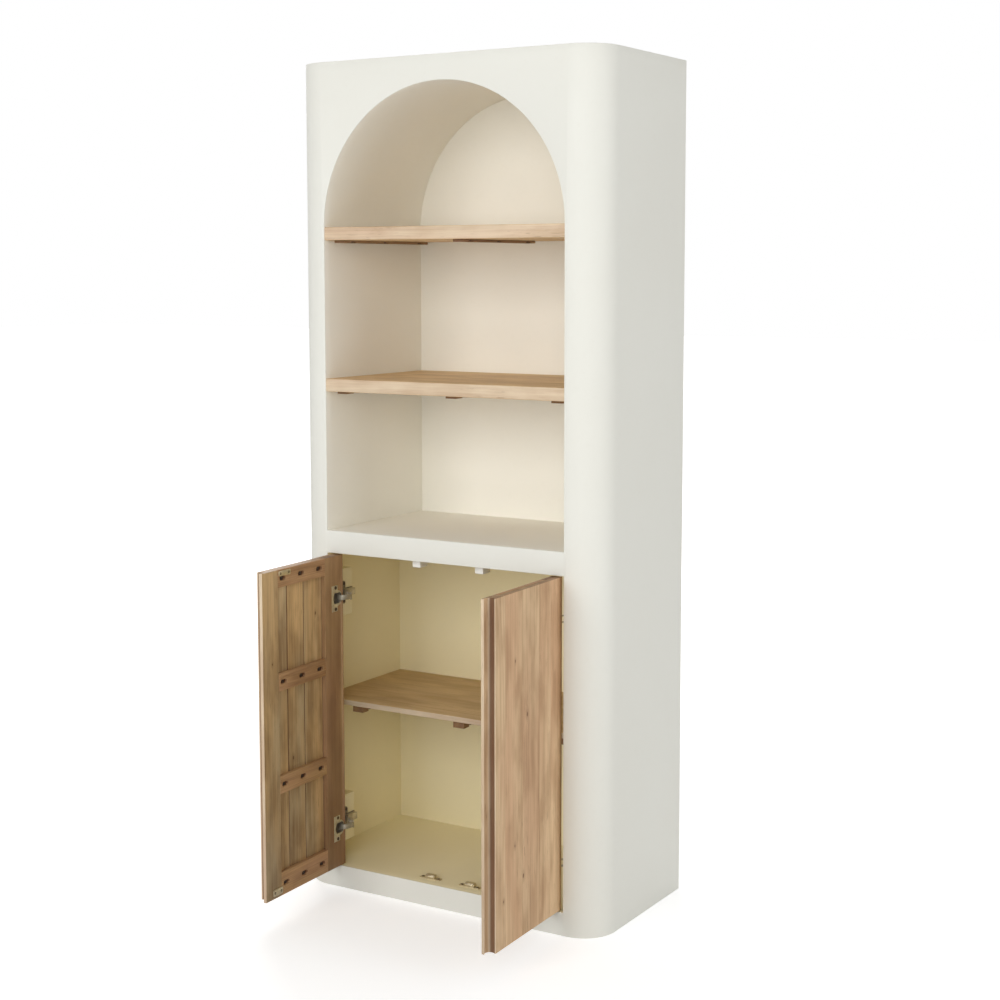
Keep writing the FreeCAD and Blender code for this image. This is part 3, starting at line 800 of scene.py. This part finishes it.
class CABINET_OT_carcass(bpy.types.Operator):
    """Painted front frame, sides, posts and top, with softly rounded edges"""
    bl_idname = "cabinet.carcass"
    bl_label = "Carcass"

    def execute(self, context):
        self.sizes = context.scene.cabinet_sizes
        self.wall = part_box("middle_rail")[1][1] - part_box("middle_rail")[0][1]
        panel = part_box("right_side_panel")
        self.rear_radius = (panel[1][0] - panel[0][0]) * REAR_CORNER_SHARE
        for side in SIDES:
            self.corner_post(side)
            self.side_panel(side)
            self.stile(side)
        self.header()
        self.soffit()
        self.rails()
        self.top()
        for node in ("back_panel", "niche_floor", "cupboard_floor", "floor_bearer",
                     "left_niche_wall", "right_niche_wall"):
            plain = frame["nodes"][node]
            plain.data.materials.clear()
            plain.data.materials.append(paint())
        eased_copy("hinge_blocks", self.sizes.paint_edge, paint())
        return {"FINISHED"}

    def corner_post(self, side):
        """A post round outside and hollow inside, like a quarter of a pipe."""
        node = side + "_corner_post"
        low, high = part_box(node)
        outer = low[0] if side == "left" else high[0]
        inner = high[0] if side == "left" else low[0]
        radius = high[0] - low[0]
        piece = block(node + "_round", low, high)
        round_edges(piece, radius, both(on(0, outer), on(1, low[1])), self.sizes.corner_steps)
        foot = (inner, high[1], low[2] - OVERHANG)
        head = (inner, high[1], high[2] + OVERHANG)
        steps = 4 * self.sizes.corner_steps
        cut(piece, drum("hollow", radius - self.wall, foot, head, steps))
        finish(piece, [node], paint())

    def side_panel(self, side):
        node = side + "_side_panel"
        low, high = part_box(node)
        outer = low[0] if side == "left" else high[0]
        piece = block(node + "_rounded", low, high)
        rear_arris = both(on(0, outer), on(1, high[1]))
        round_edges(piece, self.rear_radius, rear_arris, REAR_CORNER_STEPS)
        finish(piece, [node], paint())

    def stile(self, side):
        """A stile whose inner arris is rounded beside the openings only."""
        node = side + "_stile"
        low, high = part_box(node)
        inner = high[0] if side == "left" else low[0]
        piece = block(node + "_rounded", low, high)
        rails = ("plinth_rail", "middle_rail")
        levels = [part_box(rail)[end][2] for rail in rails for end in (0, 1)]
        only(piece)
        for level in levels[1:]:
            bpy.ops.object.mode_set(mode="EDIT")
            bpy.ops.mesh.select_all(action="SELECT")
            bpy.ops.mesh.bisect(plane_co=(0, 0, level), plane_no=(0, 0, 1))
            bpy.ops.object.mode_set(mode="OBJECT")

        def beside_opening(a, b):
            middle = (a.z + b.z) / 2
            return not any(start < middle < end for start, end in zip(levels[::2], levels[1::2]))
        round_edges(piece, self.sizes.paint_edge,
                    both(on(0, inner), on(1, low[1]), beside_opening))
        finish(piece, [node], paint())

    def header(self):
        low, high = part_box("arch_header")
        radius = abs(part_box("left_stile")[1][0])
        piece = block("arch_header_rounded", low, high)
        start = (0, low[1] - OVERHANG, low[2])
        end = (0, high[1] + OVERHANG, low[2])
        cut(piece, drum("arch", radius, start, end, self.sizes.arch_steps))

        def on_arch(a, b):
            return all(abs(math.hypot(p.x, p.z - low[2]) - radius) < ARCH_NEAR for p in (a, b))
        round_edges(piece, self.sizes.paint_edge, both(on_arch, on(1, low[1])))
        finish(piece, ["arch_header"], paint())

    def soffit(self):
        """Half a pipe behind the arch."""
        low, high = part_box("arch_soffit")
        steps = self.sizes.arch_steps
        inner = abs(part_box("left_stile")[1][0])
        start = Vector((0, low[1], low[2]))
        end = Vector((0, high[1], low[2]))
        over = Vector((0, inner, 0))
        piece = drum("arch_soffit_round", high[0], start, end, steps)
        cut(piece, drum("void", inner, start - over, end + over, steps))
        cut(piece, block("under", (low[0] - inner, low[1] - inner, low[2] - 2 * inner),
                         (high[0] + inner, high[1] + inner, low[2])))
        finish(piece, ["arch_soffit"], paint())

    def rails(self):
        for node in ("middle_rail", "plinth_rail"):
            low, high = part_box(node)
            piece = block(node + "_rounded", low, high)
            edges = [both(on(1, low[1]), on(2, high[2]))]
            if node == "middle_rail":
                edges.append(both(on(1, low[1]), on(2, low[2])))
            round_edges(piece, self.sizes.paint_edge, either(*edges))
            finish(piece, [node], paint())

    def top(self):
        """The top, rounded in plan like the posts and the side panels under it."""
        low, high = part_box("top_panel")
        post_low, post_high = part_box("left_corner_post")
        piece = block("top_panel_rounded", low, high)
        front = both(upright, on(1, low[1]))
        back = both(upright, on(1, high[1]))
        round_edges(piece, post_high[0] - post_low[0], front, self.sizes.corner_steps)
        round_edges(piece, self.rear_radius, back, REAR_CORNER_STEPS)
        round_edges(piece, self.sizes.paint_edge, on(2, high[2]))
        finish(piece, ["top_panel"], paint())


class CABINET_OT_shelves(bpy.types.Operator):
    """Wooden shelves of the niche and the cupboard"""
    bl_idname = "cabinet.shelves"
    bl_label = "Shelves"

    def execute(self, context):
        axes = grain_axes((1, 0, 0), (0, 0, 1))
        first_seed = 11
        nodes = ("upper_shelf", "lower_shelf", "cupboard_shelf")
        for seed, node in enumerate(nodes, first_seed):
            low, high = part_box(node)
            centre = (Vector(low) + Vector(high)) / 2
            thin = node == "cupboard_shelf"
            top_tone, edge_tone = (0.98, 0.82) if thin else (1.14, 1.03)
            wood = Wood(node, centre, axes, "shelf", seed, ring=0.007,
                        knots=[SHELF_KNOT] if thin else (), factor=top_tone)
            wood.toward((0, -1, 0), "edge", edge_tone)
            eased_copy(node, context.scene.cabinet_sizes.board_edge, wood.made())
        return {"FINISHED"}


class CABINET_OT_doors(bpy.types.Operator):
    """Planks and stiles of both doors"""
    bl_idname = "cabinet.doors"
    bl_label = "Doors"

    def execute(self, context):
        self.sizes = context.scene.cabinet_sizes
        seed = 31
        for side in SIDES:
            for part in ("door_free_stile", "door_hinge_stile") + DOOR_PLANKS:
                self.board(side, part, seed)
                seed += 1
        return {"FINISHED"}

    def board(self, side, part, seed):
        """One plank or stile, shaped on the shut door and then turned to its resting place."""
        node = side + "_" + part
        turn = door_turn(side)
        low, high = node_corners(node, turn.inverted())
        middle, half = (low + high) / 2, (high - low) / 2
        knots = [(middle.x - x, z - middle.z, size)
                 for board, x, z, size in DOOR_KNOTS if board == node]
        wood = door_wood(node, low, high, turn, (0, 0, 1), "face", seed, ring=0.0042,
                         knots=knots, straight=seed % 3 > 0)
        piece = shut_copy(node, turn)
        free = turn.to_3x3() @ Vector((1 if side == "left" else -1, 0, 0))
        if part in DOOR_PLANKS:
            wood.behind(*PLANK_DEPTHS, "back", 1.3)
            self.seams(wood, piece, low, high)
        elif "free" in part:
            wood.behind(-half.y + 0.002, -half.y + 0.0005, "back", 1.1)
            wood.toward(-free, "back")
            wood.toward(free, "edge")
            self.pull(wood, side, low, high)
            round_edges(piece, self.sizes.board_edge, self.outer_edges(low, high))
        else:
            wood.behind(*STILE_DEPTHS, "batten", 1.1)
            # Painted shade: the faces toward the hinge take the batten wood at a third of its
            # brightness, for the dark gap beside the hinge
            wood.toward(-free, "batten", 0.35)
            outer = low.x if side == "left" else high.x
            round_edges(piece, self.sizes.hinge_arris, both(on(0, outer), on(1, low.y)), 4)
            round_edges(piece, self.sizes.board_edge, self.outer_edges(low, high))
        # Darker towards the foot of the doors' insides
        low_down = fade(wood.tree, wood.split["Z"], 0.05, -half.z)
        wood.darken(times(wood.tree, low_down, wood.depth(*PLANK_DEPTHS)), FOOT_DARKENING)
        settle(piece, turn)
        finish(piece, [node], wood.made(), 30)

    def outer_edges(self, low, high):
        """The edges of a stile's four long corners and of its ends."""
        sides = either(on(0, low.x), on(0, high.x), on(2, low.z), on(2, high.z))
        faces = either(on(1, low.y), on(1, high.y))
        return both(sides, faces)

    def seams(self, wood, piece, low, high):
        """Chamfers a plank's long edges, wider on the inside, and paints shade into them."""
        shoulders = [vertex.co.x for vertex in piece.data.vertices
                     if abs(vertex.co.y - high.y) < NEAR]
        inside, outside = self.sizes.seam_inside, self.sizes.seam_outside
        round_edges(piece, inside, both(upright, on(1, high.y)), 1)
        round_edges(piece, outside, both(upright, on(1, low.y)), 1)
        ends = both(either(on(2, low.z), on(2, high.z)), either(on(1, low.y), on(1, high.y)))
        round_edges(piece, self.sizes.board_edge, ends, 1)
        middle = (low.x + high.x) / 2
        for shoulder in (min(shoulders), max(shoulders)):
            away = wood.away_from(middle - shoulder)
            inner = fade(wood.tree, away, inside * 1.3, inside * 0.5)
            # Painted shade along the seams: strong inside the door, faint on its front
            wood.darken(times(wood.tree, inner, wood.depth(*PLANK_DEPTHS)), SEAM_SHADE)
            wood.darken(fade(wood.tree, away, outside * 1.6, outside * 0.5), FRONT_SEAM_SHADE)

    def pull(self, wood, side, low, high):
        """Painted shade in the groove that the fingers pull, deepest under the front lip."""
        middle = (low + high) / 2
        tip = high.x if side == "left" else low.x
        from_tip = wood.away_from(middle.x - tip)
        groove_start, groove_end = (0.002, 0.006), (0.024, 0.020)
        groove = times(wood.tree, fade(wood.tree, from_tip, *groove_start),
                       fade(wood.tree, from_tip, *groove_end))
        lip = high.y - middle.y
        under_lip = times(wood.tree, wood.depth(-0.0055, 0.0),
                          wood.depth(lip - 0.001, lip - 0.0035))
        # Painted shade of the lip in the finger groove
        wood.darken(times(wood.tree, groove, under_lip), GROOVE_SHADE[side])


class CABINET_OT_battens(bpy.types.Operator):
    """Screwed battens under the shelves and across the doors"""
    bl_idname = "cabinet.battens"
    bl_label = "Battens"

    def execute(self, context):
        edge = context.scene.cabinet_sizes.board_edge
        seed = 61
        for node in ("upper_shelf_battens", "lower_shelf_battens", "cupboard_shelf_battens"):
            low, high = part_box(node)
            wood = Wood(node, (Vector(low) + Vector(high)) / 2,
                        grain_axes((0, 1, 0), (0, 0, 1)), "batten", seed)
            eased_copy(node, edge, wood.made())
            seed += 1
        for side in SIDES:
            node = side + "_door_battens"
            turn = door_turn(side)
            low, high = node_corners(node, turn.inverted())
            wood = door_wood(node, low, high, turn, (1, 0, 0), "batten", seed, factor=1.45)
            back = (low.y - high.y) / 2
            inward = turn.to_3x3() @ Vector((0, 1, 0))
            # Painted shade on the floors of the screw pockets
            pocket = times(wood.tree, facing(wood.tree, inward, 0.5, 0.8),
                           wood.depth(back + 0.001, back + 0.003))
            wood.darken(pocket, POCKET_SHADE)
            eased_copy(node, edge, wood.made())
            seed += 1
        return {"FINISHED"}


class CABINET_OT_fittings(bpy.types.Operator):
    """Hinges, screws, catches and strikes"""
    bl_idname = "cabinet.fittings"
    bl_label = "Fittings"

    def execute(self, context):
        self.edge = context.scene.cabinet_sizes.metal_edge
        eased_copy("hinge_arms", self.edge, metal("nickel"))
        eased_copy("hinge_mounting_plates", self.edge, metal("dull_steel"))
        heads_for("hinge_plate_screws")
        heads_for("shelf_screws", (0, 0, -1))
        eased_copy("top_catches", self.edge, plastic_material())
        self.floor_catches()
        for side in SIDES:
            turn = door_turn(side)
            self.cups(side, turn)
            eased_copy(side + "_door_hinge_links", self.edge, metal("satin"))
            heads_for(side + "_door_screws", (0, 1, 0), turn)
            self.strikes(side, turn)
        return {"FINISHED"}

    def cups(self, side, turn):
        """Hinge cups whose hollows below the door's inner face take dull dark steel, partly grime
        and partly painted shade.
        """
        piece = eased_copy(side + "_door_hinge_cups", self.edge, metal("nickel"))
        piece.data.materials.append(metal("dull_steel"))
        face = node_corners(side + "_door_hinge_stile", turn.inverted())[1].y
        for polygon in piece.data.polygons:
            if (turn.inverted() @ polygon.center).y < face - NEAR:
                polygon.material_index = 1

    def floor_catches(self):
        """Roller catches with a screw at each end of their plates."""
        low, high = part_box("floor_catches")
        rise, radius, inset = 0.0008, 0.0028, 0.0060
        plate_width, plate_top = 0.052, low[2] + 0.002
        spots = [((sign * x, (low[1] + high[1]) / 2, plate_top + rise), (0, 0, 1), radius,
                  2 * rise)
                 for sign in (-1, 1) for x in (high[0] - inset, high[0] - plate_width + inset)]
        screwed(eased_copy("floor_catches", self.edge, metal("zinc")), spots)

    def strikes(self, side, turn):
        """Strike plates, each with two flush screws."""
        node = side + "_door_strike_plates"
        rise, radius, inset, height = 0.0002, 0.0026, 0.0065, 0.001
        spots = [((x, high.y + rise, (low.z + high.z) / 2), (0, 1, 0), radius, height)
                 for low, high in solids_of(node, turn) for x in (low.x + inset, high.x - inset)]
        screwed(eased_copy(node, self.edge, metal("zinc")), spots, turn)


# Stage

class CABINET_OT_stage(bpy.types.Operator):
    """Pale floor, soft studio light and the camera"""
    bl_idname = "cabinet.stage"
    bl_label = "Stage"

    def execute(self, context):
        context.scene.view_settings.view_transform = "Standard"
        self.floor()
        self.sky(context)
        self.softbox("front_left", (-0.9, -5.0, 2.2), 2.6, 82)
        self.softbox("front_right", (1.8, -4.6, 2.2), 2.6, 57)
        self.softbox("side", (5.0, 0.0, 1.7), 2.8, 60)
        self.softbox("back", (-3.2, 4.0, 3.6), 3.0, 150)
        self.camera(context)
        return {"FINISHED"}

    def floor(self):
        """A pale floor that looks white away from the cabinet and keeps its shadow near it."""
        bpy.ops.mesh.primitive_plane_add(size=60)
        floor = bpy.context.object
        floor.name = "floor"
        material, tree, surface = shader("pale_floor")
        surface.inputs["Base Color"].default_value = rgba((0.86, 0.86, 0.86))
        surface.inputs["Roughness"].default_value = 0.9
        surface.inputs["Emission Color"].default_value = rgba((1, 1, 1))
        away = vector_calc(tree, "LENGTH", object_place(tree), result="Value")
        near, far, dim, bright = 0.6, 3.2, 0.42, 0.9
        glow = fade(tree, away, near, far, dim, bright)
        seen = add(tree, "LightPath").outputs["Is Camera Ray"]
        tree.links.new(times(tree, seen, glow), surface.inputs["Emission Strength"])
        floor.data.materials.append(material)

    def sky(self, context):
        """White to the camera and in reflections, dimmer as a light."""
        world = bpy.data.worlds.new("studio")
        context.scene.world = world
        world.use_nodes = True
        tree = world.node_tree
        tree.nodes.clear()
        paths = add(tree, "LightPath").outputs
        seen = calc(tree, "MAXIMUM", paths["Is Camera Ray"], paths["Is Glossy Ray"])
        seen = calc(tree, "MAXIMUM", seen, paths["Is Transmission Ray"])
        levels = {"Value": seen, "To Min": 0.38, "To Max": 1.0}
        strength = add(tree, "MapRange", levels).outputs[0]
        glow = add(tree, "Background", {"Color": rgba((1, 1, 1)), "Strength": strength})
        tree.links.new(glow.outputs[0], add(tree, "OutputWorld").inputs[0])

    def softbox(self, name, place, size, power):
        aim = Vector((0, 0, cad_box[1][2] / 2))
        bpy.ops.object.light_add(type="AREA", location=place)
        lamp = bpy.context.object
        lamp.name = name
        lamp.data.size = size
        lamp.data.energy = power
        lamp.rotation_euler = (aim - Vector(place)).to_track_quat("-Z", "Y").to_euler()

    def camera(self, context):
        """The camera fitted to the photograph's straight edges, for a frame of 1000 pixels."""
        data = bpy.data.cameras.new("view")
        camera = bpy.data.objects.new("view", data)
        context.scene.collection.objects.link(camera)
        yaw, pitch, roll = 0.5467, -0.1018, -0.001
        focal_pixels, frame_pixels, axis_row = 1769.2, 1000, 450
        data.sensor_width = 36
        data.lens = data.sensor_width * focal_pixels / frame_pixels
        data.shift_y = (axis_row - frame_pixels / 2) / frame_pixels
        ahead = Vector((-math.sin(yaw) * math.cos(pitch), math.cos(yaw) * math.cos(pitch),
                        math.sin(pitch)))
        level = Vector((math.cos(yaw), math.sin(yaw), 0))
        rise = level.cross(ahead)
        right = math.cos(roll) * level + math.sin(roll) * rise
        up = math.cos(roll) * rise - math.sin(roll) * level
        turn = Matrix((right, up, -ahead)).transposed().to_4x4()
        camera.matrix_world = Matrix.Translation((2.0455, -3.3123, 1.3847)) @ turn
        context.scene.camera = camera


class CABINET_PT_panel(bpy.types.Panel):
    """Sidebar panel with the cabinet's pieces, sizes and colours"""
    bl_idname = "CABINET_PT_panel"
    bl_label = "Cabinet"
    bl_space_type = "VIEW_3D"
    bl_region_type = "UI"
    bl_category = "Cabinet"

    def draw(self, context):
        for operator in OPERATORS:
            self.layout.operator(operator.bl_idname)
        for group in (context.scene.cabinet_sizes, context.scene.cabinet_colours):
            for name in group.__annotations__:
                self.layout.prop(group, name)


OPERATORS = (CABINET_OT_carcass, CABINET_OT_shelves, CABINET_OT_doors, CABINET_OT_battens,
             CABINET_OT_fittings, CABINET_OT_stage)
CLASSES = (CabinetSizes, CabinetColours, *OPERATORS, CABINET_PT_panel)


def register():
    for entry in CLASSES:
        bpy.utils.register_class(entry)
    bpy.types.Scene.cabinet_sizes = bpy.props.PointerProperty(type=CabinetSizes)
    bpy.types.Scene.cabinet_colours = bpy.props.PointerProperty(type=CabinetColours)


def unregister():
    del bpy.types.Scene.cabinet_colours
    del bpy.types.Scene.cabinet_sizes
    for entry in reversed(CLASSES):
        bpy.utils.unregister_class(entry)


def main():
    register()
    wood_figure()
    bpy.ops.cabinet.carcass()
    bpy.ops.cabinet.shelves()
    bpy.ops.cabinet.doors()
    bpy.ops.cabinet.battens()
    bpy.ops.cabinet.fittings()
    bpy.ops.cabinet.stage()


if __name__ == "__main__":
    main()
